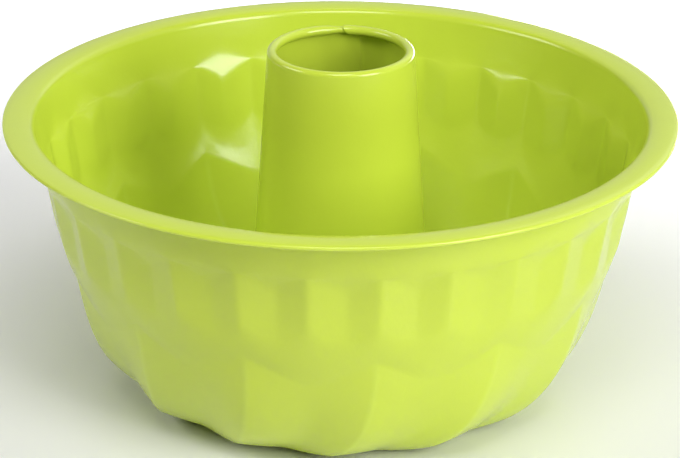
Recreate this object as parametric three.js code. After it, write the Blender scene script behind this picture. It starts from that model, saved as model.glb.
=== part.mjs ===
// Fluted tube pan: a deep-drawn sheet-steel shell with two bands of flutes, and a tapered centre tube
// that is rolled from one blank and locked into the hole in the shell's floor.
// Millimetres and degrees, +Z up. The origin is on the axis, at the level that the pan rests on.
// Angles run from the front (-Y) towards the right (+X), anticlockwise seen from above.
import * as THREE from 'three';

// Both pieces
const SHEET = 0.6; // thickness of the steel
const FIT_GAP = 0.3; // clearance where the tube meets the shell

// Shell rim
const BODY_HEIGHT = 107; // resting level to the top of the bead round the flange
const RIM_RADIUS = 125; // over the rolled bead
const BEAD_DIAMETER = 1.6; // of the edge rolled under the flange
const BEAD_START_ANGLE = 45; // where the rolled edge leaves the flange, 90 being its top
const BEAD_END_ANGLE = -180; // where the rolled edge stops
const FLANGE_WIDTH = 8.8; // bead's outside to the bend into the wall
const FLANGE_TILT = 11; // slope of the crowned flange at its two edges
const RIM_BEND_RADIUS = 3; // of that bend, on its upper face

// Shell flutes
const FLUTES = 14; // swirled flutes round the lower wall
const SHORT_PER_FLUTE = 2; // short flutes above each of them
const RIDGE_ANGLE = 7.2; // a swirled flute's ridge, at its top
const SHORT_LEAN = 0.55; // short flute's valley, as a share of the way between its ridges
const SHORT_DEPTH = 2.2; // short flute's valley, inside the wall's cone at its top
const SWIRL_DEPTH = 5.5; // swirled flute's valley, inside its ridge at half its length
const SWIRL_ANGLE = 19.5; // how far the swirled flutes turn on their way down to the floor
const CREASE = 1.2; // width of the soft edge along each ridge and valley
const FACET_EDGE = 0.08; // share of a short flute's length that softens at each of its ends

// Shell wall, from the bead's top down and from the flange's inner edge in
const PLAIN_BAND = 18.2; // height of the plain band under the flange
const RIDGE_LEAD = 0.6; // short ridge's start, below the plain band
const SHORT_LENGTH = 21.3; // height of the short ridges
const SHORT_TOP_LAG = 6.1; // short valley's start, below the plain band
const SHORT_FOOT_LAG = 7; // short valley's end, below its ridge's end
const MID_BAND = 14.5; // height of the middle band, down to the swirled ridges
const SCALLOP = 12; // swirled valley's start, below its ridge's start
const WALL_INSET = 8.4; // wall's foot, inside the flange's inner edge
const MID_INSET = 9.2; // middle band's lowest edge, inside the wall's foot
const KNEE_INSET = 5.6; // crown's knee, inside the top of the swirled ridges
const KNEE_HEIGHT = 12.8; // crown's knee, above the resting level
const CROWN_FULLNESS = 0.494; // share of the crown's width that pulls down to the resting level

// Shell floor
const FLOOR_WIDTH = 18; // flat ring that the pan rests on
const SEAT_RISE = 2; // underside of the tube's seat, above the resting level
const SEAT_STEP = 2; // width of the slope between the floor and the seat
const SEAT_MARGIN = 2; // seat's edge, outside the tube's foot

// Centre tube
const TUBE_RISE = 23.7; // tube's top, above the flange
const TUBE_TOP_RADIUS = 27.3; // outside, at the middle of the curled top
const TUBE_BASE_RADIUS = 36; // outside, at the floor
const TUBE_CURL = 3.7; // diameter of the edge curled inwards at the top
const TUBE_CURL_END_ANGLE = 270; // where the curled edge stops, 90 being its top
const TUBE_FOOT_WIDTH = 6; // flange under the floor
const TUBE_FOOT_BEND = 0.4; // inside the bend between that flange and the tube
const LOCK_BEAD_HEIGHT = 3; // bead round the tube that holds the floor against the flange
const LOCK_BEAD_DEPTH = 1.2; // how far the bead stands out
const LOCK_BEAD_SLOPE = 1; // height of each of its sloping sides
const LAP_ANGLE = 14; // overlap of the blank's two ends
const LAP_EDGE_ANGLE = 178.3; // outer end's edge
const LAP_EDGE_RUN = 0.6; // angle that a lap edge's end face takes
const JOGGLE_ANGLE = 18; // over which the inner end steps in by one sheet

// Fineness of the round forms
const BEAD_STEPS = 5;
const FLANGE_STEPS = 3;
const BEND_STEPS = 2;
const CROWN_STEPS = 7;
const CURL_STEPS = 6;
const TUBE_SIDES = 40;

const MIDDLE_PULL = 0.75; // share of a cubic's middle point that its two inner points carry
const GREEN = 0xb6d13c;

const { lerp: mix, degToRad: radians, radToDeg: degrees, euclideanModulo } = THREE.MathUtils;

// Counts, radii and heights that follow from the sizes above
const shortCount = FLUTES * SHORT_PER_FLUTE;
const flangeInner = RIM_RADIUS - FLANGE_WIDTH;
const wallFootRadius = flangeInner - WALL_INSET;
const wallFootDrop = PLAIN_BAND + SHORT_LENGTH;
const scallopRadius = wallFootRadius - MID_INSET;
const ridgeTopDrop = wallFootDrop + MID_BAND;
const scallopDrop = ridgeTopDrop + SCALLOP;
const holeRadius = TUBE_BASE_RADIUS + FIT_GAP;
const footRadius = TUBE_BASE_RADIUS + TUBE_FOOT_WIDTH;
const seatRadius = footRadius + SEAT_MARGIN;
const floorInner = seatRadius + SEAT_STEP;
const floorOuter = floorInner + FLOOR_WIDTH;

/** Arc in the plane of radius and height, with the unit normal that leads to the sheet's other face. */
function arc(centreRadius, centreHeight, radius, fromAngle, toAngle, steps, side) {
  return Array.from({ length: steps + 1 }, (_, i) => {
    const angle = radians(mix(fromAngle, toAngle, i / steps));
    const [across, up] = [Math.cos(angle), Math.sin(angle)];
    return {
      r: centreRadius + radius * across,
      z: centreHeight + radius * up,
      normal: [side * across, side * up],
    };
  });
}

/** Gives each point without a normal the mean normal of its two stretches, right of the path for side 1. */
function withNormals(path, side) {
  const stretchNormal = (a, b) => {
    const length = Math.hypot(b.r - a.r, b.z - a.z);
    return [(side * (b.z - a.z)) / length, (-side * (b.r - a.r)) / length];
  };
  return path.map((point, i) => {
    if (point.normal) return point;
    const before = i > 0 ? stretchNormal(path[i - 1], point) : stretchNormal(point, path[i + 1]);
    const after = i < path.length - 1 ? stretchNormal(point, path[i + 1]) : before;
    const sum = [before[0] + after[0], before[1] + after[1]];
    const length = Math.hypot(...sum);
    return { ...point, normal: [sum[0] / length, sum[1] / length] };
  });
}

/** Closed loop of one column: the path's own face out, and the sheet's other face back. */
function columnLoop(path, nearShift, farShift) {
  const place = (point, depth) => {
    const r = point.r + depth * point.normal[0];
    const z = point.z + depth * point.normal[1];
    const angle = radians(point.angle);
    return new THREE.Vector3(r * Math.sin(angle), -r * Math.cos(angle), z);
  };
  const near = path.map((point) => place(point, nearShift));
  const far = path.map((point) => place(point, farShift));
  return [...near, ...far.reverse()];
}

/** Closed skin through a ring of loops that all have the same number of points. */
function ringGeometry(loops) {
  const size = loops[0].length;
  const index = [];
  loops.forEach((_, i) => {
    const here = i * size;
    const next = ((i + 1) % loops.length) * size;
    for (let k = 0; k < size; k += 1) {
      const m = (k + 1) % size;
      index.push(here + k, here + m, next + m, here + k, next + m, next + k);
    }
  });
  const geometry = new THREE.BufferGeometry().setFromPoints(loops.flat());
  geometry.setIndex(index);
  geometry.computeVertexNormals();
  return geometry;
}

/** Slope angle of the wall from upright: its foot's line touches the bend under the flange. */
function wallSlope() {
  const across = WALL_INSET;
  const up = wallFootDrop - RIM_BEND_RADIUS;
  const touch = Math.asin((RIM_BEND_RADIUS - SHEET) / Math.hypot(across, up));
  return Math.atan2(across, up) - touch;
}

const wallTaper = Math.tan(wallSlope());
const wallRadius = (drop) => wallFootRadius + wallTaper * (wallFootDrop - drop);
const midRadius = (drop) =>
  mix(wallFootRadius, scallopRadius, (drop - wallFootDrop) / (scallopDrop - wallFootDrop));

/** Crown's curve from the middle band to the floor ring, set in by the swirled flute's hollow. */
function crownCurve(topDrop, hollow) {
  const ridgeTopRadius = midRadius(ridgeTopDrop);
  const pull = mix(floorOuter, ridgeTopRadius, CROWN_FULLNESS);
  return new THREE.CubicBezierCurve(
    new THREE.Vector2(midRadius(topDrop), BODY_HEIGHT - topDrop),
    new THREE.Vector2(ridgeTopRadius - KNEE_INSET - hollow, KNEE_HEIGHT),
    new THREE.Vector2(pull - hollow, 0),
    new THREE.Vector2(floorOuter, 0),
  );
}

const ridgeCrown = crownCurve(ridgeTopDrop, 0);
const valleyCrown = crownCurve(scallopDrop, SWIRL_DEPTH / MIDDLE_PULL);

/** Angle of a place round the shell, counted in short flutes from a swirled flute's ridge. */
const placeAngle = (place) => RIDGE_ANGLE + (360 * place) / shortCount;

/** Rim of the shell, on the face under the flange: rolled bead, crowned flange and bend. */
function rimPath(place) {
  const beadRadius = BEAD_DIAMETER / 2;
  const [outerEdge, innerEdge] = [90 - FLANGE_TILT, 90 + FLANGE_TILT];
  const bead = (fromAngle, toAngle, steps) =>
    arc(RIM_RADIUS - beadRadius, BODY_HEIGHT - beadRadius, beadRadius - SHEET, fromAngle, toAngle, steps, 1);
  const bend = arc(flangeInner, BODY_HEIGHT - RIM_BEND_RADIUS, RIM_BEND_RADIUS - SHEET,
    innerEdge, 180 - degrees(wallSlope()), BEND_STEPS, 1);
  const [flangeEnd] = bead(outerEdge, outerEdge, 1);
  const halfWidth = (flangeEnd.r - bend[0].r) / 2;
  const flangeRadius = halfWidth / Math.sin(radians(FLANGE_TILT));
  const flangeDepth = flangeRadius * Math.cos(radians(FLANGE_TILT));
  const flange = arc(flangeEnd.r - halfWidth, flangeEnd.z - flangeDepth, flangeRadius,
    outerEdge, innerEdge, FLANGE_STEPS, 1);
  const rim = [...bead(BEAD_END_ANGLE, BEAD_START_ANGLE, BEAD_STEPS), ...flange.slice(0, -1), ...bend];
  return rim.map((point) => ({ ...point, angle: placeAngle(place) }));
}

/** Plain band and short flutes of the shell, down to the middle band. */
function wallPath(place) {
  const phase = euclideanModulo(place, 1);
  const ridge = phase < SHORT_LEAN ? 1 - phase / SHORT_LEAN : (phase - SHORT_LEAN) / (1 - SHORT_LEAN);
  const ridgeStart = PLAIN_BAND + RIDGE_LEAD;
  const valleyStart = PLAIN_BAND + SHORT_TOP_LAG;
  const startRadius = mix(wallRadius(valleyStart) - SHORT_DEPTH, wallRadius(ridgeStart), ridge);
  const startDrop = mix(valleyStart, ridgeStart, ridge);
  const footDrop = mix(wallFootDrop + SHORT_FOOT_LAG, wallFootDrop, ridge);
  const at = (r, drop) => ({ r, z: BODY_HEIGHT - drop, angle: placeAngle(place) });
  const onFlute = (share) =>
    at(mix(startRadius, midRadius(footDrop), share), mix(startDrop, footDrop, share));
  return [
    at(wallRadius(PLAIN_BAND), PLAIN_BAND),
    ...[0, FACET_EDGE, 1 - FACET_EDGE, 1].map(onFlute),
  ];
}

/** Swirled flutes, crown and floor of the shell, down to the edge of the tube's hole. */
function crownPath(place) {
  const ridge = Math.abs(1 - 2 * euclideanModulo(place / SHORT_PER_FLUTE, 1));
  const crown = Array.from({ length: CROWN_STEPS + 1 }, (_, i) => {
    const along = i / CROWN_STEPS;
    const point = valleyCrown.getPoint(along).lerp(ridgeCrown.getPoint(along), ridge);
    return { r: point.x, z: point.y, angle: placeAngle(place) - SWIRL_ANGLE * along ** 2 };
  });
  const floor = [[floorInner, 0], [seatRadius, SEAT_RISE], [holeRadius, SEAT_RISE]];
  return [...crown, ...floor.map(([r, z]) => ({ r, z, angle: placeAngle(place) - SWIRL_ANGLE }))];
}

/** Columns of the shell: evenly spread at the rim, and paired along each crease of the flutes below. */
function shellColumns() {
  const soft = ((CREASE / 2) * shortCount) / (2 * Math.PI * wallFootRadius);
  const creases = [-soft, soft, SHORT_LEAN - soft, SHORT_LEAN + soft];
  const halfSwirl = SHORT_PER_FLUTE / 2;
  const perHalf = creases.length * halfSwirl;
  return Array.from({ length: creases.length * shortCount }, (_, i) => {
    const step = i % perHalf;
    const swirlStep = step === 0 ? -soft : mix(soft, halfSwirl - soft, (step - 1) / (perHalf - 1));
    return {
      rim: (i - 0.5) / creases.length,
      short: Math.floor(i / creases.length) + creases[i % creases.length],
      swirl: Math.floor(i / perHalf) * halfSwirl + swirlStep,
    };
  });
}

function flutedShell() {
  const loops = shellColumns().map(({ rim, short, swirl }) => {
    const path = [...rimPath(rim), ...wallPath(short), ...crownPath(swirl)];
    return columnLoop(withNormals(path, 1), 0, SHEET);
  });
  return ringGeometry(loops);
}

/** Outer face of the tube: foot flange, lock bead, taper and curled top. */
function tubePath() {
  const footTop = SEAT_RISE - FIT_GAP;
  const beadFoot = SEAT_RISE + SHEET + FIT_GAP;
  const beadTop = beadFoot + LOCK_BEAD_HEIGHT;
  const curlRadius = TUBE_CURL / 2;
  const curlHeight = BODY_HEIGHT + TUBE_RISE - curlRadius;
  const outside = (z) => mix(TUBE_BASE_RADIUS, TUBE_TOP_RADIUS, (z - footTop) / (curlHeight - footTop));
  const onTube = (z, depth) => ({ r: outside(z) + depth, z });
  return [
    { r: footRadius, z: footTop },
    ...arc(TUBE_BASE_RADIUS + TUBE_FOOT_BEND, footTop + TUBE_FOOT_BEND, TUBE_FOOT_BEND,
      270, 180, BEND_STEPS, 1),
    onTube(beadFoot, 0),
    onTube(beadFoot + LOCK_BEAD_SLOPE, LOCK_BEAD_DEPTH),
    onTube(beadTop - LOCK_BEAD_SLOPE, LOCK_BEAD_DEPTH),
    onTube(beadTop, 0),
    ...arc(TUBE_TOP_RADIUS - curlRadius, curlHeight, curlRadius, 0, TUBE_CURL_END_ANGLE, CURL_STEPS, -1),
  ];
}

/** Columns of the tube from the lap's outer edge round to it again, with each face's step in, in sheets. */
function tubeColumns() {
  const lapStart = 360 - LAP_ANGLE;
  const plain = Array.from({ length: TUBE_SIDES + 1 }, (_, i) => ({
    along: mix(JOGGLE_ANGLE, lapStart, i / TUBE_SIDES),
    outer: 0,
    inner: 0,
  }));
  return [
    { along: 0, outer: 1, inner: 1 },
    { along: JOGGLE_ANGLE / 2, outer: 0.5, inner: 0.5 },
    ...plain,
    { along: lapStart + LAP_EDGE_RUN, outer: 0, inner: 1 },
    { along: 360 - LAP_ANGLE / 2, outer: 0, inner: 1 },
    { along: 360 - LAP_EDGE_RUN, outer: 0, inner: 1 },
  ];
}

/** The tube's path has its other face on the left, so its columns run the other way round. */
function centreTube() {
  const path = withNormals(tubePath(), -1);
  const loops = tubeColumns().map(({ along, outer, inner }) => {
    const turned = path.map((point) => ({ ...point, angle: LAP_EDGE_ANGLE + along }));
    return columnLoop(turned, outer * SHEET, (1 + inner) * SHEET);
  });
  return ringGeometry(loops.reverse());
}

function coatedSteel() {
  return new THREE.MeshStandardMaterial({ color: GREEN, roughness: 0.22, metalness: 0 });
}

function piece(name, geometry) {
  const mesh = new THREE.Mesh(geometry, coatedSteel());
  mesh.name = name;
  return mesh;
}

const pan = new THREE.Group();
pan.add(piece('fluted_shell', flutedShell()));
pan.add(piece('centre_tube', centreTube()));

export default pan;
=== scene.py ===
"""Fluted tube pan in lime-green coated steel: two fine sheet pieces and a small studio."""
import logging
import math
from dataclasses import dataclass
from enum import Enum
from typing import Any, Iterable, NamedTuple, Sequence, Union

import bpy
from mathutils import Matrix, Vector


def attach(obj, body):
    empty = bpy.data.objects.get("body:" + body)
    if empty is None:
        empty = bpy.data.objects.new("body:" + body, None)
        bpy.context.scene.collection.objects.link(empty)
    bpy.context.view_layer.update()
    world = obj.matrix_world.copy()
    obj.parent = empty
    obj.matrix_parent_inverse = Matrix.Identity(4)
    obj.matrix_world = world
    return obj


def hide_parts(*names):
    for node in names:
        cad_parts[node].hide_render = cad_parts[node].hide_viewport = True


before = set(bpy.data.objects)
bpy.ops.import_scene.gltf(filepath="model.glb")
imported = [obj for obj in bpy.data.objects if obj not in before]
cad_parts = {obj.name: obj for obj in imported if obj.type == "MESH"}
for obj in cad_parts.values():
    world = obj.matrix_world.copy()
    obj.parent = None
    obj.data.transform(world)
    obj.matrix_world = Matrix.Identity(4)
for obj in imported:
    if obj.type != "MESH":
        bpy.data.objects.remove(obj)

LOG = logging.getLogger("pan")
MM = 0.001
# Largest share of a corner's side that its rounding takes.
SIDE_SHARE = 0.45
# Share of its two middle poles' shift that a cubic curve takes halfway along.
CUBIC_SHARE = 0.75
NOISE_MEAN = 0.5
# Places of the colour sockets on a Mix node.
MIX_FIRST, MIX_SECOND, MIX_RESULT = 6, 7, 2
Colour = tuple[float, float, float]
Point = tuple[float, float, float]
Span = tuple[float, float]


class Station(NamedTuple):
    """Point of a meridian in millimetres, with its own turn about the axis in degrees."""

    r: float
    z: float
    turn: float = 0.0


class Rounding(NamedTuple):
    """How far a corner's rounding runs along its sides in millimetres, and its number of stretches."""

    reach: float
    steps: int


class Face(Enum):
    """Side of a meridian on which the sheet's other face lies, looking along the path."""

    RIGHT = 1
    LEFT = -1


def mix(a: float, b: float, share: float) -> float:
    """Value that lies at a share of the way from a to b."""
    return a + (b - a) * share


def smooth(low: float, high: float, value: float) -> float:
    """Smooth step from 0 at low to 1 at high."""
    share = min(max((value - low) / (high - low), 0.0), 1.0)
    return share * share * (3 - 2 * share)


def soft_kink(x: float, before: float, after: float, reach: float) -> float:
    """Height of two slopes that meet at zero in a rounded corner.

    Args:
        x: Distance past the corner.
        before: Slope ahead of the corner.
        after: Slope behind the corner.
        reach: Half the width of the rounding.

    Returns:
        The height, 0 at a sharp corner.
    """
    if abs(x) >= reach:
        return (before if x < 0 else after) * x
    return before * x + (after - before) * (x + reach) ** 2 / (4 * reach)


def arc(r: float, z: float, radius: float, start: float, end: float, steps: int) -> list[Station]:
    """Points of an arc in the plane of radius and height.

    Args:
        r: Radius of the arc's centre.
        z: Height of the arc's centre.
        radius: Radius of the arc itself.
        start: First angle in degrees, 90 being the top.
        end: Last angle in degrees.
        steps: Number of equal stretches.

    Returns:
        The points in order.
    """
    angles = [math.radians(mix(start, end, i / steps)) for i in range(steps + 1)]
    return [Station(r + radius * math.cos(a), z + radius * math.sin(a)) for a in angles]


def rounded(corners: Sequence[Station], roundings: Sequence[Rounding]) -> list[Station]:
    """Rounds the inner corners of a meridian.

    Args:
        corners: The meridian's corners; its two ends stay.
        roundings: The rounding of each inner corner.

    Returns:
        The two ends and the roundings between them.
    """
    path = [corners[0]]
    for before, corner, after, (reach, steps) in zip(corners, corners[1:], corners[2:], roundings):
        sides = []
        for other in (before, after):
            length = math.hypot(other.r - corner.r, other.z - corner.z)
            share = min(reach, SIDE_SHARE * length) / length
            sides.append(Station(*(mix(a, b, share) for a, b in zip(corner, other))))
        for i in range(steps + 1):
            t = i / steps
            weights = ((1 - t) ** 2, 2 * t * (1 - t), t * t)
            three = zip(sides[0], corner, sides[1])
            path.append(Station(*(sum(w * v for w, v in zip(weights, values)) for values in three)))
    return [*path, corners[-1]]


def sheet_normals(path: Sequence[Station], side: Face) -> list[tuple[float, float]]:
    """Unit normals of a meridian, towards the sheet's other face.

    Args:
        path: The meridian.
        side: Side on which the other face lies.

    Returns:
        One normal for each point, in radius and height.
    """
    normals = []
    for i in range(len(path)):
        a, b = path[max(i - 1, 0)], path[min(i + 1, len(path) - 1)]
        length = math.hypot(b.r - a.r, b.z - a.z)
        normals.append((side.value * (b.z - a.z) / length, -side.value * (b.r - a.r) / length))
    return normals


def sheet_loop(path: Sequence[Station], side: Face, angle: float,
               near: Sequence[float], far: Sequence[float]) -> list[Vector]:
    """Closed loop of one column of sheet, out along one face and back along the other.

    Args:
        path: The meridian of the first face.
        side: Side on which the other face lies.
        angle: Place of the column round the axis in degrees, 0 at the front.
        near: Depth of the first face below the meridian at each point, in millimetres.
        far: Depth of the other face at each point.

    Returns:
        The loop's points in metres.
    """
    normals = sheet_normals(path, side)

    def place(i: int, depth: float) -> Vector:
        """Point of one face of the column.

        Args:
            i: Number of the meridian's point.
            depth: Depth of the face below that point.

        Returns:
            The point in metres.
        """
        turned = math.radians(angle + path[i].turn)
        r = path[i].r + depth * normals[i][0]
        z = path[i].z + depth * normals[i][1]
        return Vector((r * math.sin(turned), -r * math.cos(turned), z)) * MM

    order = range(len(path))
    return [place(i, near[i]) for i in order] + [place(i, far[i]) for i in reversed(order)]


def skin(name: str, loops: Sequence[Sequence[Vector]], closed: bool, flip: bool) -> bpy.types.Mesh:
    """Mesh of quads through a row of equal closed loops.

    Args:
        name: Name of the mesh.
        loops: The loops in order.
        closed: Whether the last loop joins the first.
        flip: Whether the faces turn the other way.

    Returns:
        The smooth-shaded mesh.
    """
    size = len(loops[0])
    faces = []
    for i in range(len(loops) - (0 if closed else 1)):
        here, there = i * size, (i + 1) % len(loops) * size
        for k in range(size):
            m = (k + 1) % size
            quad = (here + k, here + m, there + m, there + k)
            faces.append(quad[::-1] if flip else quad)
    mesh = bpy.data.meshes.new(name)
    mesh.from_pydata([tuple(p) for loop in loops for p in loop], [], faces)
    mesh.polygons.foreach_set("use_smooth", [True] * len(mesh.polygons))
    mesh.update()
    return mesh


def stand(name: str, mesh: bpy.types.Mesh) -> bpy.types.Object:
    """Puts a mesh into the scene as an object at the origin.

    Args:
        name: Name of the object.
        mesh: Its mesh.

    Returns:
        The new object.
    """
    piece = bpy.data.objects.new(name, mesh)
    bpy.context.scene.collection.objects.link(piece)
    return piece


class Graph:
    """Node tree that is filled node by node."""

    def __init__(self, tree: bpy.types.NodeTree) -> None:
        """Takes a tree and empties it."""
        self.tree = tree
        tree.nodes.clear()

    def node(self, kind: str, settings: dict[str, Any],
             sockets: dict[Union[str, int], Any]) -> bpy.types.Node:
        """Adds one node.

        Args:
            kind: The node's type.
            settings: Its own settings, set before its sockets; "stops" fills a ramp.
            sockets: Values, terms or output sockets for its inputs, by name or place.

        Returns:
            The new node.
        """
        made = self.tree.nodes.new(kind)
        for name, value in settings.items():
            if name == "stops":
                for element, (place, shade) in zip(made.color_ramp.elements, value):
                    element.position = place
                    element.color = (*shade, 1.0)
            else:
                setattr(made, name, value)
        for key, value in sockets.items():
            socket = made.inputs[key]
            if isinstance(value, Term):
                self.tree.links.new(value.socket, socket)
            elif isinstance(value, bpy.types.NodeSocket):
                self.tree.links.new(value, socket)
            else:
                socket.default_value = value
        return made

    def term(self, node: bpy.types.Node, output: Union[str, int] = 0) -> "Term":
        """Output of a node, ready for arithmetic."""
        return Term(self, node.outputs[output])

    def blend(self, share: Any, first: Any, second: Any) -> bpy.types.NodeSocket:
        """Mixes two colours.

        Args:
            share: Share of the second colour.
            first: First colour, or its socket.
            second: Second colour, or its socket.

        Returns:
            The mixed colour's socket.
        """
        made = self.node("ShaderNodeMix", {"data_type": "RGBA"}, {
            "Factor": share, MIX_FIRST: first, MIX_SECOND: second})
        return made.outputs[MIX_RESULT]


class Term:
    """Number in a node tree; arithmetic on it adds Math nodes."""

    def __init__(self, graph: Graph, socket: bpy.types.NodeSocket) -> None:
        """Wraps one output socket."""
        self.graph = graph
        self.socket = socket

    def _math(self, operation: str, first: Any, second: Any) -> "Term":
        """Adds one Math node over two values."""
        node = self.graph.node("ShaderNodeMath", {"operation": operation}, {0: first, 1: second})
        return Term(self.graph, node.outputs[0])

    def __add__(self, other: Any) -> "Term":
        """Sum."""
        return self._math("ADD", self, other)

    def __radd__(self, other: Any) -> "Term":
        """Sum with a plain number in front."""
        return self._math("ADD", other, self)

    def __sub__(self, other: Any) -> "Term":
        """Difference."""
        return self._math("SUBTRACT", self, other)

    def __rsub__(self, other: Any) -> "Term":
        """Difference from a plain number."""
        return self._math("SUBTRACT", other, self)

    def __mul__(self, other: Any) -> "Term":
        """Product."""
        return self._math("MULTIPLY", self, other)

    def __rmul__(self, other: Any) -> "Term":
        """Product with a plain number in front."""
        return self._math("MULTIPLY", other, self)

    def __truediv__(self, other: Any) -> "Term":
        """Quotient."""
        return self._math("DIVIDE", self, other)

    def __rtruediv__(self, other: Any) -> "Term":
        """Quotient of a plain number."""
        return self._math("DIVIDE", other, self)


@dataclass(frozen=True)
class Lacquer:
    """Glossy baked coating over steel, with its flow marks, faint clouding and a lighter tint on outer edges
    that is partly thinner coating and partly painted highlight. Marks in millimetres.
    """

    name: str = "lime_lacquer"
    tint: Colour = (0.592, 0.72, 0.062)
    cloud: Colour = (0.561, 0.69, 0.052)
    thin_coat_and_highlight: Colour = (0.62, 0.76, 0.085)
    roughness: float = 0.21
    coat: float = 0.15
    coat_roughness: float = 0.06
    ior: float = 1.5
    cloud_size: float = 38.0
    ripple_size: float = 17.0
    peel_size: float = 1.5
    speck_size: float = 0.45
    noise_roughness: float = 0.55
    peel_height: float = 0.18
    speck_height: float = 0.008
    bump_strength: float = 0.35
    bump_depth: float = 0.6
    even_wear_and_highlight: float = 0.25
    speck_wear_and_highlight: float = 0.5
    speck_dulling: float = 0.05
    cloud_dulling: float = 0.06

    def _noise(self, graph: Graph, place: Any, size: float, detail: float) -> Term:
        """Adds noise to the coating.

        Args:
            graph: The coating's node tree.
            place: Socket of the place on the piece.
            size: About how wide the marks are.
            detail: Number of finer layers.

        Returns:
            The noise, from 0 to 1.
        """
        made = graph.node("ShaderNodeTexNoise", {}, {
            "Vector": place, "Scale": 1 / (size * MM), "Detail": detail, "Roughness": self.noise_roughness})
        return graph.term(made)

    def material(self) -> bpy.types.Material:
        """Builds the coating.

        Returns:
            The material, ready for both pieces.
        """
        made = bpy.data.materials.new(self.name)
        made.use_nodes = True
        graph = Graph(made.node_tree)
        place = graph.node("ShaderNodeTexCoord", {}, {}).outputs["Object"]
        cloud = self._noise(graph, place, self.cloud_size, detail=3)
        ripple = self._noise(graph, place, self.ripple_size, detail=1)
        peel = self._noise(graph, place, self.peel_size, detail=2)
        speck = self._noise(graph, place, self.speck_size, detail=1)
        crest_wear_and_highlight = graph.term(graph.node("ShaderNodeAttribute", {"attribute_name": "crest_wear_and_highlight"}, {}), "Fac")
        body = graph.blend(cloud, (*self.tint, 1), (*self.cloud, 1))
        # Lighter tint along outer edges and the curl's top: thinner coating there, plus a painted highlight
        # along these edges.
        wear_and_highlight = crest_wear_and_highlight * (self.even_wear_and_highlight + speck * self.speck_wear_and_highlight)
        shade = graph.blend(wear_and_highlight, body, (*self.thin_coat_and_highlight, 1))
        height = ripple + peel * self.peel_height + speck * self.speck_height
        bump = graph.node("ShaderNodeBump", {}, {
            "Strength": self.bump_strength, "Distance": self.bump_depth * MM, "Height": height})
        rough = (self.roughness + (speck - NOISE_MEAN) * self.speck_dulling
                 + (cloud - NOISE_MEAN) * self.cloud_dulling)
        surface = graph.node("ShaderNodeBsdfPrincipled", {}, {
            "Base Color": shade, "Roughness": rough, "Normal": bump.outputs[0],
            "Coat Weight": self.coat, "Coat Roughness": self.coat_roughness, "IOR": self.ior})
        graph.node("ShaderNodeOutputMaterial", {}, {"Surface": surface.outputs[0]})
        return made


@dataclass(frozen=True)
class TableTop:
    """Plain white table under the pan."""

    name: str = "white_table"
    tint: Colour = (0.82, 0.82, 0.82)
    roughness: float = 0.38
    unevenness: float = 0.1
    marks_per_metre: float = 6.0
    shine: float = 0.6

    def material(self) -> bpy.types.Material:
        """Builds the table's surface, with a faint unevenness.

        Returns:
            The material.
        """
        made = bpy.data.materials.new(self.name)
        made.use_nodes = True
        graph = Graph(made.node_tree)
        place = graph.node("ShaderNodeTexCoord", {}, {}).outputs["Object"]
        marks = graph.node("ShaderNodeTexNoise", {}, {"Vector": place, "Scale": self.marks_per_metre})
        rough = self.roughness + (graph.term(marks) - NOISE_MEAN) * self.unevenness
        surface = graph.node("ShaderNodeBsdfPrincipled", {}, {
            "Base Color": (*self.tint, 1), "Roughness": rough, "Specular IOR Level": self.shine})
        graph.node("ShaderNodeOutputMaterial", {}, {"Surface": surface.outputs[0]})
        return made


@dataclass
class RingArray:
    """Geometry Nodes tree that turns one sector of a pan into the whole ring."""

    name: str = "ring_of_sectors"
    weld: float = 0.002 * MM

    def tree(self) -> tuple[bpy.types.NodeTree, dict[str, str]]:
        """Builds the tree.

        Returns:
            The tree, and the identifier of each of its named inputs.
        """
        tree = bpy.data.node_groups.new(self.name, "GeometryNodeTree")
        face = tree.interface
        face.new_socket("Sector", in_out="INPUT", socket_type="NodeSocketGeometry")
        named = {}
        for name, kind in (("Copies", "Int"), ("Weld", "Float"), ("Finish", "Material")):
            socket = face.new_socket(name, in_out="INPUT", socket_type=f"NodeSocket{kind}")
            named[name] = socket.identifier
        face.new_socket("Ring", in_out="OUTPUT", socket_type="NodeSocketGeometry")
        graph = Graph(tree)
        given = graph.node("NodeGroupInput", {}, {})
        copies = graph.term(given, "Copies")
        index = graph.term(graph.node("GeometryNodeInputIndex", {}, {}))
        turn = graph.node("ShaderNodeCombineXYZ", {}, {"Z": index * (2 * math.pi) / copies})
        spin = graph.node("FunctionNodeEulerToRotation", {}, {0: turn.outputs[0]})
        points = graph.node("GeometryNodePoints", {}, {"Count": copies})
        placed = graph.node("GeometryNodeInstanceOnPoints", {}, {
            "Points": points.outputs[0], "Instance": given.outputs["Sector"], "Rotation": spin.outputs[0]})
        whole = graph.node("GeometryNodeRealizeInstances", {}, {"Geometry": placed.outputs[0]})
        welded = graph.node("GeometryNodeMergeByDistance", {}, {
            "Geometry": whole.outputs[0], "Distance": given.outputs["Weld"]})
        done = graph.node("GeometryNodeSetMaterial", {}, {
            "Geometry": welded.outputs[0], "Material": given.outputs["Finish"]})
        graph.node("NodeGroupOutput", {}, {0: done.outputs[0]})
        return tree, named

    def ring(self, name: str, sector: bpy.types.Mesh, copies: int,
             finish: bpy.types.Material) -> bpy.types.Object:
        """Repeats a sector round the axis and keeps the result as a plain mesh.

        Args:
            name: Name of the finished piece.
            sector: One sector, whose sides match when it is turned by one step.
            copies: Number of sectors in the ring.
            finish: Material of the ring.

        Returns:
            The finished piece.
        """
        seed = stand(f"{name}_sector", sector)
        modifier = seed.modifiers.new("ring", "NODES")
        tree, named = self.tree()
        modifier.node_group = tree
        modifier[named["Copies"]] = copies
        modifier[named["Weld"]] = self.weld
        modifier[named["Finish"]] = finish
        graph = bpy.context.evaluated_depsgraph_get()
        mesh = bpy.data.meshes.new_from_object(seed.evaluated_get(graph), depsgraph=graph)
        mesh.name = name
        seed.modifiers.remove(modifier)
        bpy.data.objects.remove(seed)
        bpy.data.meshes.remove(sector)
        return stand(name, mesh)


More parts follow.
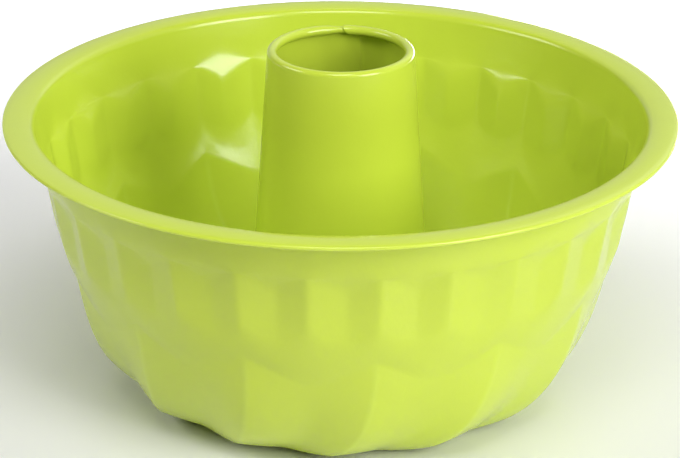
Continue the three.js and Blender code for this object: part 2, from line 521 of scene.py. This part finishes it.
@dataclass
class FlutedShell:
    """Drawn body of the pan: rolled rim, two bands of flutes, crown, floor ring and tube seat.

    Lengths are in millimetres, angles in degrees and softnesses in shares of a flute.
    """

    sheet: float = 0.6
    body_height: float = 107.0
    rim_radius: float = 124.95
    bead: float = 1.6
    flange_inner: float = 116.2
    rim_bend: float = 3.0
    flange_tilt: float = 11.0
    flutes: int = 14
    ridge_angle: float = 7.2
    lean: float = 0.55
    short_depth: float = 2.7
    swirl_depth: float = 5.5
    swirl_angle: float = 19.5
    plain_band: float = 18.2
    ridge_lead: float = 0.6
    short_length: float = 21.3
    top_lag: float = 6.1
    top_cusp: float = 1.5
    top_ease: float = 2.5
    foot_lag: float = 7.0
    foot_cusp: float = 2.2
    mid_band: float = 14.5
    scallop: float = 12.0
    wall_foot: float = 107.8
    scallop_radius: float = 98.6
    mid_bulge: float = 0.45
    knee: tuple[float, float] = (97.2, 12.8)
    pull: float = 83.2
    floor_outer: float = 64.0
    floor_inner: float = 46.0
    seat_radius: float = 44.0
    seat_rise: float = 2.0
    hole_radius: float = 36.3
    short_soft: float = 0.075
    ridge_soft: float = 0.030
    valley_soft: float = 0.13
    ramp_round: Rounding = Rounding(6.5, 5)
    start_round: Rounding = Rounding(5.0, 5)
    foot_round: Rounding = Rounding(2.6, 5)
    bulge_round: Rounding = Rounding(9.0, 3)
    scallop_round: Rounding = Rounding(1.5, 5)
    seat_round: Rounding = Rounding(1.1, 3)
    bead_steps: int = 9
    flange_steps: int = 6
    bend_steps: int = 5
    crown_steps: int = 22
    fall_columns: int = 11
    rise_columns: int = 10
    crowding: float = 0.8
    highlight_wave: Span = (0.93, 0.985)
    highlight_drop: Span = (52.0, 60.0)
    highlight_clear: Span = (3.0, 16.0)
    bead_highlight: Span = (1.2, 0.4)

    def _slope(self) -> float:
        """Works out the slope of the wall, which leaves the rim's bend without a crease.

        Returns:
            The slope from upright, in radians.
        """
        across = self.flange_inner - self.wall_foot
        up = self.plain_band + self.short_length - self.rim_bend
        return math.atan2(across, up) - math.asin((self.rim_bend - self.sheet) / math.hypot(across, up))

    def _wall(self, drop: float) -> float:
        """Radius of the upper wall at a drop below the flange."""
        return self.wall_foot + math.tan(self._slope()) * (self.plain_band + self.short_length - drop)

    def _mid(self, drop: float) -> float:
        """Radius of the middle band at a drop below the flange."""
        foot = self.plain_band + self.short_length
        return mix(self.wall_foot, self.scallop_radius, (drop - foot) / (self.mid_band + self.scallop))

    def _short_ridge(self, place: float) -> float:
        """Height of the short flutes' wave.

        Args:
            place: Place round the shell, in short flutes from a swirled ridge.

        Returns:
            The height, about 1 on a ridge and 0 in a valley.
        """
        phase = place % 1.0
        rise, fall, soft = 1 / (1 - self.lean), -1 / self.lean, self.short_soft
        if abs(phase - self.lean) < min(self.lean, 1 - self.lean) / 2:
            return soft_kink(phase - self.lean, fall, rise, soft)
        return 1 + soft_kink(phase if phase < 0.5 else phase - 1, rise, fall, soft)

    def _swirl_ridge(self, place: float) -> float:
        """Height of the swirled flutes' wave.

        Args:
            place: Place round the shell, in short flutes from a swirled ridge.

        Returns:
            The height, about 1 on a ridge and 0 in a valley.
        """
        phase = place / 2 % 1.0
        if abs(phase - 0.5) < 0.25:
            return soft_kink(phase - 0.5, -2, 2, self.valley_soft)
        return 1 + soft_kink(phase if phase < 0.5 else phase - 1, 2, -2, self.ridge_soft)

    def _crown(self, ridge: float) -> list[Station]:
        """Meridian of a swirled flute from its top to the floor ring.

        Args:
            ridge: Height of the flutes' wave at the meridian.

        Returns:
            The meridian.
        """
        ridge_drop = self.plain_band + self.short_length + self.mid_band
        hollow = self.swirl_depth / CUBIC_SHARE
        ends = []
        for drop, inset in ((ridge_drop + self.scallop, hollow), (ridge_drop, 0.0)):
            ends.append(((self._mid(drop), self.body_height - drop), (self.knee[0] - inset, self.knee[1]),
                         (self.pull - inset, 0.0), (self.floor_outer, 0.0)))
        path = []
        for i in range(self.crown_steps + 1):
            t = i / self.crown_steps
            weights = ((1 - t) ** 3, 3 * t * (1 - t) ** 2, 3 * t * t * (1 - t), t ** 3)
            valley, top = ([sum(w * p[k] for w, p in zip(weights, pole)) for k in (0, 1)] for pole in ends)
            path.append(Station(mix(valley[0], top[0], ridge), mix(valley[1], top[1], ridge),
                                -self.swirl_angle * t * t))
        return path

    def meridian(self, place: float) -> list[Station]:
        """Outside face of the shell from the rolled edge to the tube's hole.

        Args:
            place: Place round the shell, in short flutes from a swirled ridge.

        Returns:
            The meridian, with the same number of points at every place.
        """
        short, swirl = self._short_ridge(place), self._swirl_ridge(place)
        top, bead = self.body_height, self.bead / 2
        rim = arc(self.rim_radius - bead, top - bead, bead - self.sheet,
                  -180, 90 - self.flange_tilt, self.bead_steps)
        bend = arc(self.flange_inner, top - self.rim_bend, self.rim_bend - self.sheet,
                   90 + self.flange_tilt, 180 - math.degrees(self._slope()), self.bend_steps)
        middle = (rim[-1].r + bend[0].r) / 2
        tilt = math.radians(self.flange_tilt)
        dome = (rim[-1].r - bend[0].r) / 2 / math.sin(tilt)
        rim += arc(middle, rim[-1].z - (rim[-1].r - middle) / math.tan(tilt), dome,
                   90 - self.flange_tilt, 90 + self.flange_tilt, self.flange_steps)[1:-1]
        foot = self.plain_band + self.short_length
        starts = (self.plain_band + self.top_lag, self.plain_band + self.ridge_lead)
        start_drop = mix(starts[1], starts[0], (1 - short) ** self.top_cusp)
        start_r = mix(self._wall(starts[0]) - self.short_depth, self._wall(starts[1]), short)
        foot_drop = mix(foot + self.foot_lag, foot, short ** self.foot_cusp)
        ramp_drop = self.plain_band - self.top_ease * (1 - short)
        crown = self._crown(swirl)
        mid_drop = (foot_drop + top - crown[0].z) / 2
        wall = rounded([
            bend[-1],
            Station(self._wall(ramp_drop), top - ramp_drop),
            Station(start_r, top - start_drop),
            Station(self._mid(foot_drop), top - foot_drop),
            Station(self._mid(mid_drop) + self.mid_bulge, top - mid_drop),
            crown[0],
            crown[1],
        ], (self.ramp_round, self.start_round, self.foot_round, self.bulge_round, self.scallop_round))
        last = crown[-1].turn
        floor = rounded([
            crown[-1],
            Station(self.floor_inner, 0.0, last),
            Station(self.seat_radius, self.seat_rise, last),
            Station(self.hole_radius, self.seat_rise, last),
        ], (self.seat_round, self.seat_round))
        return [*rim, *bend, *wall[1:], *crown[2:], *floor[1:]]

    def _places(self) -> list[float]:
        """Columns of one sector, closer together along the creases.

        Returns:
            The columns' places in short flutes, from one swirled ridge to the next.
        """
        places = []
        for low, high, steps in ((0.0, self.lean, self.fall_columns), (self.lean, 1.0, self.rise_columns)):
            for i in range(steps):
                crowd = self.crowding * math.sin(2 * math.pi * i / steps) / (2 * math.pi)
                places.append(mix(low, high, i / steps - crowd))
        return places + [1 + place for place in places] + [2.0]

    def build(self, finish: bpy.types.Material) -> bpy.types.Object:
        """Makes the shell from one sector.

        Args:
            finish: Material of the shell.

        Returns:
            The finished piece.
        """
        loops, crest_wear_and_highlight_values = [], []
        for place in self._places():
            path = self.meridian(place)
            angle = self.ridge_angle + 180 * place / self.flutes
            loops.append(sheet_loop(path, Face.RIGHT, angle, [0.0] * len(path), [self.sheet] * len(path)))
            # Mask for the lighter edge tint: thinner coating plus a painted highlight on the low swirl ridges
            # and the bead.
            crest_wear_and_highlight = [self._crest_wear_and_highlight(station, place) for station in path]
            crest_wear_and_highlight_values += crest_wear_and_highlight + crest_wear_and_highlight[::-1]
        sector = skin("shell_sector", loops, closed=False, flip=False)
        sector.attributes.new("crest_wear_and_highlight", "FLOAT", "POINT").data.foreach_set("value", crest_wear_and_highlight_values)
        return RingArray().ring("fluted_shell_skin", sector, self.flutes, finish)

    def _crest_wear_and_highlight(self, station: Station, place: float) -> float:
        """How far a point lies on an outer edge, where the coating is thinnest and a highlight is painted
        into the colour.

        Args:
            station: The point.
            place: Place of its meridian, in short flutes from a swirled ridge.

        Returns:
            The share, 0 away from the edges.
        """
        drop = self.body_height - station.z
        swirl = smooth(*self.highlight_wave, self._swirl_ridge(place)) * smooth(*self.highlight_drop, drop)
        swirl *= smooth(*(self.floor_outer + clear for clear in self.highlight_clear), station.r)
        bead = smooth(*(self.rim_radius - inset for inset in self.bead_highlight), station.r)
        return max(swirl, bead)


@dataclass
class CentreTube:
    """Tapered tube with a curled top, a lap seam at the back and a locked foot.

    Lengths are in millimetres and angles in degrees.
    """

    sheet: float = 0.6
    gap: float = 0.3
    top_height: float = 130.65
    top_radius: float = 27.3
    base_radius: float = 36.0
    curl: float = 3.7
    curl_angle: float = 275.0
    foot_width: float = 6.0
    foot_bend: float = 0.4
    seat_rise: float = 2.0
    lock_height: float = 3.0
    lock_depth: float = 1.2
    lap: float = 14.0
    lap_edge: float = 178.3
    joggle: float = 18.0
    edge_run: float = 0.25
    clip_run: float = 7.0
    clip_start: float = 140.0
    clip_fade: float = 9.0
    foot_steps: int = 4
    lock_steps: int = 12
    taper_steps: int = 12
    curl_steps: int = 44
    joggle_columns: int = 18
    plain_columns: int = 110
    lap_columns: int = 34
    lap_margin: float = 0.6
    highlight_rise: Span = (40.0, 80.0)
    highlight_fall: Span = (170.0, 110.0)

    def _path(self) -> tuple[list[Station], list[float]]:
        """Outer face of the tube from its foot to the end of its curl.

        Returns:
            The meridian, and each point's angle round the curl, 0 below the curl.
        """
        foot = self.seat_rise - self.gap
        lock = self.seat_rise + self.sheet + self.gap
        curl = self.curl / 2
        centre = self.top_height - curl

        def taper(z: float) -> float:
            """Radius of the plain taper at a height."""
            return mix(self.base_radius, self.top_radius, (z - foot) / (centre - foot))

        path = [Station(self.base_radius + width, foot) for width in (self.foot_width, self.foot_width / 2)]
        path += arc(self.base_radius + self.foot_bend, foot + self.foot_bend, self.foot_bend,
                    270, 180, self.foot_steps)
        for i in range(self.lock_steps + 1):
            z = lock + self.lock_height * i / self.lock_steps
            swell = self.lock_depth * math.sin(math.pi * i / self.lock_steps) ** 2
            path.append(Station(taper(z) + swell, z))
        low = lock + self.lock_height
        for i in range(1, self.taper_steps):
            z = mix(low, centre, i / self.taper_steps)
            path.append(Station(taper(z), z))
        turns = [mix(0, self.curl_angle, i / self.curl_steps) for i in range(self.curl_steps + 1)]
        turns = [0.0] * len(path) + turns
        path += arc(self.top_radius - curl, centre, curl, 0, self.curl_angle, self.curl_steps)
        return path, turns

    def _columns(self) -> list[float]:
        """Columns round the tube, closer together about the seam.

        Returns:
            The columns' angles from the lap's outer edge.
        """
        lap_start = 360 - self.lap
        columns = [self.joggle * i / self.joggle_columns for i in range(self.joggle_columns)]
        columns += [mix(self.joggle, lap_start, i / self.plain_columns) for i in range(self.plain_columns)]
        columns += [lap_start, lap_start + self.edge_run]
        low, high = lap_start + self.lap_margin, 360 - self.lap_margin
        columns += [mix(low, high, i / self.lap_columns) for i in range(self.lap_columns + 1)]
        return columns + [360 - self.edge_run]

    def _steps_in(self, along: float, turn: float) -> tuple[float, float]:
        """How many sheets each face lies inside the plain tube.

        Args:
            along: Angle from the lap's outer edge.
            turn: Angle round the curl.

        Returns:
            The outer and the inner face's step.
        """
        lap_start = 360 - self.lap
        if along <= self.joggle:
            step = 1 - smooth(0, self.joggle, along)
            return step, step
        if along <= lap_start:
            return 0.0, 0.0
        clip = mix(self.clip_start, self.curl_angle, (360 - along) / self.clip_run)
        return smooth(clip, clip + self.clip_fade, turn), 1.0

    def build(self, finish: bpy.types.Material) -> bpy.types.Object:
        """Makes the tube.

        Args:
            finish: Material of the tube.

        Returns:
            The finished piece.
        """
        path, turns = self._path()
        loops, crest_wear_and_highlight_values = [], []
        for along in self._columns():
            steps = [self._steps_in(along, turn) for turn in turns]
            near = [outer * self.sheet for outer, _ in steps]
            far = [(1 + inner) * self.sheet for _, inner in steps]
            loops.append(sheet_loop(path, Face.LEFT, self.lap_edge + along, near, far))
            # Mask for the lighter tint over the curl's top: thinner coating plus a painted highlight.
            crest_wear_and_highlight = [smooth(*self.highlight_rise, turn) * smooth(*self.highlight_fall, turn) for turn in turns]
            crest_wear_and_highlight_values += crest_wear_and_highlight + crest_wear_and_highlight[::-1]
        mesh = skin("centre_tube_skin", loops, closed=True, flip=True)
        mesh.attributes.new("crest_wear_and_highlight", "FLOAT", "POINT").data.foreach_set("value", crest_wear_and_highlight_values)
        mesh.materials.append(finish)
        return stand("centre_tube_skin", mesh)


@dataclass(frozen=True)
class Softbox:
    """Rectangular studio light that hangs round a point and faces it.

    Lengths are in metres and angles in degrees, with azimuth 0 at the camera's side.
    """

    name: str
    azimuth: float
    elevation: float
    distance: float
    width: float
    height: float
    radiance: float
    faces: Point = (0.0, 0.0, 0.07)
    spread: float = 180.0

    def build(self) -> None:
        """Hangs the light."""
        light = bpy.data.lights.new(self.name, "AREA")
        light.shape = "RECTANGLE"
        light.size, light.size_y = self.width, self.height
        light.energy = self.radiance * math.pi * self.width * self.height
        light.spread = math.radians(self.spread)
        turn, rise = math.radians(self.azimuth), math.radians(self.elevation)
        level = math.cos(rise)
        away = Vector((math.sin(turn) * level, -math.cos(turn) * level, math.sin(rise)))
        hung = bpy.data.objects.new(self.name, light)
        hung.matrix_world = (Matrix.Translation(Vector(self.faces) + away * self.distance)
                             @ away.to_track_quat("Z", "Y").to_matrix().to_4x4())
        bpy.context.scene.collection.objects.link(hung)


@dataclass
class Studio:
    """White table, white room and soft lights. Metres."""

    room: float = 0.03
    table_size: float = 30.0
    # After each name: azimuth, elevation, distance, width, height and radiance.
    boxes: tuple[Softbox, ...] = (
        Softbox("key_right", 46, 26, 1.6, 0.80, 0.90, 9.0),
        Softbox("front_top", 0, 60, 1.6, 0.70, 0.60, 7.1),
        Softbox("fill_left", -85, 34, 1.6, 0.90, 0.60, 5.05),
        Softbox("side_right", 120, 35, 1.8, 2.60, 1.40, 0.60),
        Softbox("back_wall", 180, 30, 1.8, 3.00, 1.60, 0.63),
        Softbox("table_back", 180, 85, 1.0, 2.20, 0.30, 2.0, faces=(0.0, 0.54, 0.0), spread=44),
        Softbox("low_back", 152, 0, 0.75, 0.50, 0.08, 14.0, faces=(0.0, 0.0, 0.055)),
        Softbox("far_front", 0, 90, 3.0, 11.0, 4.8, 0.9, faces=(0.0, -3.5, 0.0), spread=20),
        Softbox("far_back", 0, 90, 3.0, 11.0, 4.8, 0.9, faces=(0.0, 3.5, 0.0), spread=20),
        Softbox("far_left", 0, 90, 3.0, 4.8, 2.2, 0.9, faces=(-3.5, 0.0, 0.0), spread=20),
        Softbox("far_right", 0, 90, 3.0, 4.8, 2.2, 0.9, faces=(3.5, 0.0, 0.0), spread=20),
    )

    def build(self) -> None:
        """Sets up the table, the room's light and the softboxes."""
        half = self.table_size / 2
        mesh = bpy.data.meshes.new("table")
        corners = [(-half, -half, 0), (half, -half, 0), (half, half, 0), (-half, half, 0)]
        mesh.from_pydata(corners, [], [(0, 1, 2, 3)])
        mesh.materials.append(TableTop().material())
        stand("table", mesh)
        world = bpy.data.worlds.new("white_room")
        world.use_nodes = True
        graph = Graph(world.node_tree)
        glow = graph.node("ShaderNodeBackground", {}, {"Color": (1, 1, 1, 1), "Strength": self.room})
        graph.node("ShaderNodeOutputWorld", {}, {"Surface": glow.outputs[0]})
        bpy.context.scene.world = world
        for box in self.boxes:
            box.build()
        view = bpy.context.scene.view_settings
        view.view_transform, view.look, view.exposure, view.gamma = "Standard", "None", 0.0, 1.0


@dataclass
class PhotoCamera:
    """Camera at the photograph's viewing angle, placed about the centre of the rim's plane.

    Lengths are in metres and angles in degrees, apart from the sensor's millimetres and the picture's pixels.
    """

    rim_height: float = 0.107
    distance: float = 0.878
    elevation: float = 21.2
    tilt: float = 2.94
    roll: float = 0.307
    focal_pixels: float = 2356.0
    image_width: float = 680.0
    sensor_width: float = 36.0

    def build(self) -> None:
        """Puts the camera in its place and makes it the scene's own."""
        made = bpy.data.cameras.new("photo_camera")
        made.sensor_fit = "HORIZONTAL"
        made.sensor_width = self.sensor_width
        made.lens = self.sensor_width * self.focal_pixels / self.image_width
        rise, look = math.radians(self.elevation), math.radians(self.elevation + self.tilt)
        roll = math.radians(self.roll)
        right, up = Vector((1, 0, 0)), Vector((0, math.sin(look), math.cos(look)))
        back = Vector((0, -math.cos(look), math.sin(look)))
        across = math.cos(roll) * right + math.sin(roll) * up
        over = math.cos(roll) * up - math.sin(roll) * right
        turned = Matrix((across, over, back)).transposed().to_4x4()
        place = Vector((0, -math.cos(rise) * self.distance, self.rim_height + math.sin(rise) * self.distance))
        camera = bpy.data.objects.new("photo_camera", made)
        camera.matrix_world = Matrix.Translation(place) @ turned
        bpy.context.scene.collection.objects.link(camera)
        bpy.context.scene.camera = camera


def main() -> None:
    """Builds the pan's two pieces and its studio, and reports each piece."""
    logging.basicConfig(level=logging.INFO, format="%(name)s: %(message)s")
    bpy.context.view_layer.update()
    PhotoCamera().build()
    Studio().build()
    lacquer = Lacquer().material()
    for node, maker in (("fluted_shell", FlutedShell()), ("centre_tube", CentreTube())):
        piece = maker.build(lacquer)
        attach(piece, "root")
        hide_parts(node)
        LOG.info("%s: %d faces, stands for %s", piece.name, len(piece.data.polygons), node)


if __name__ == "__main__":
    main()
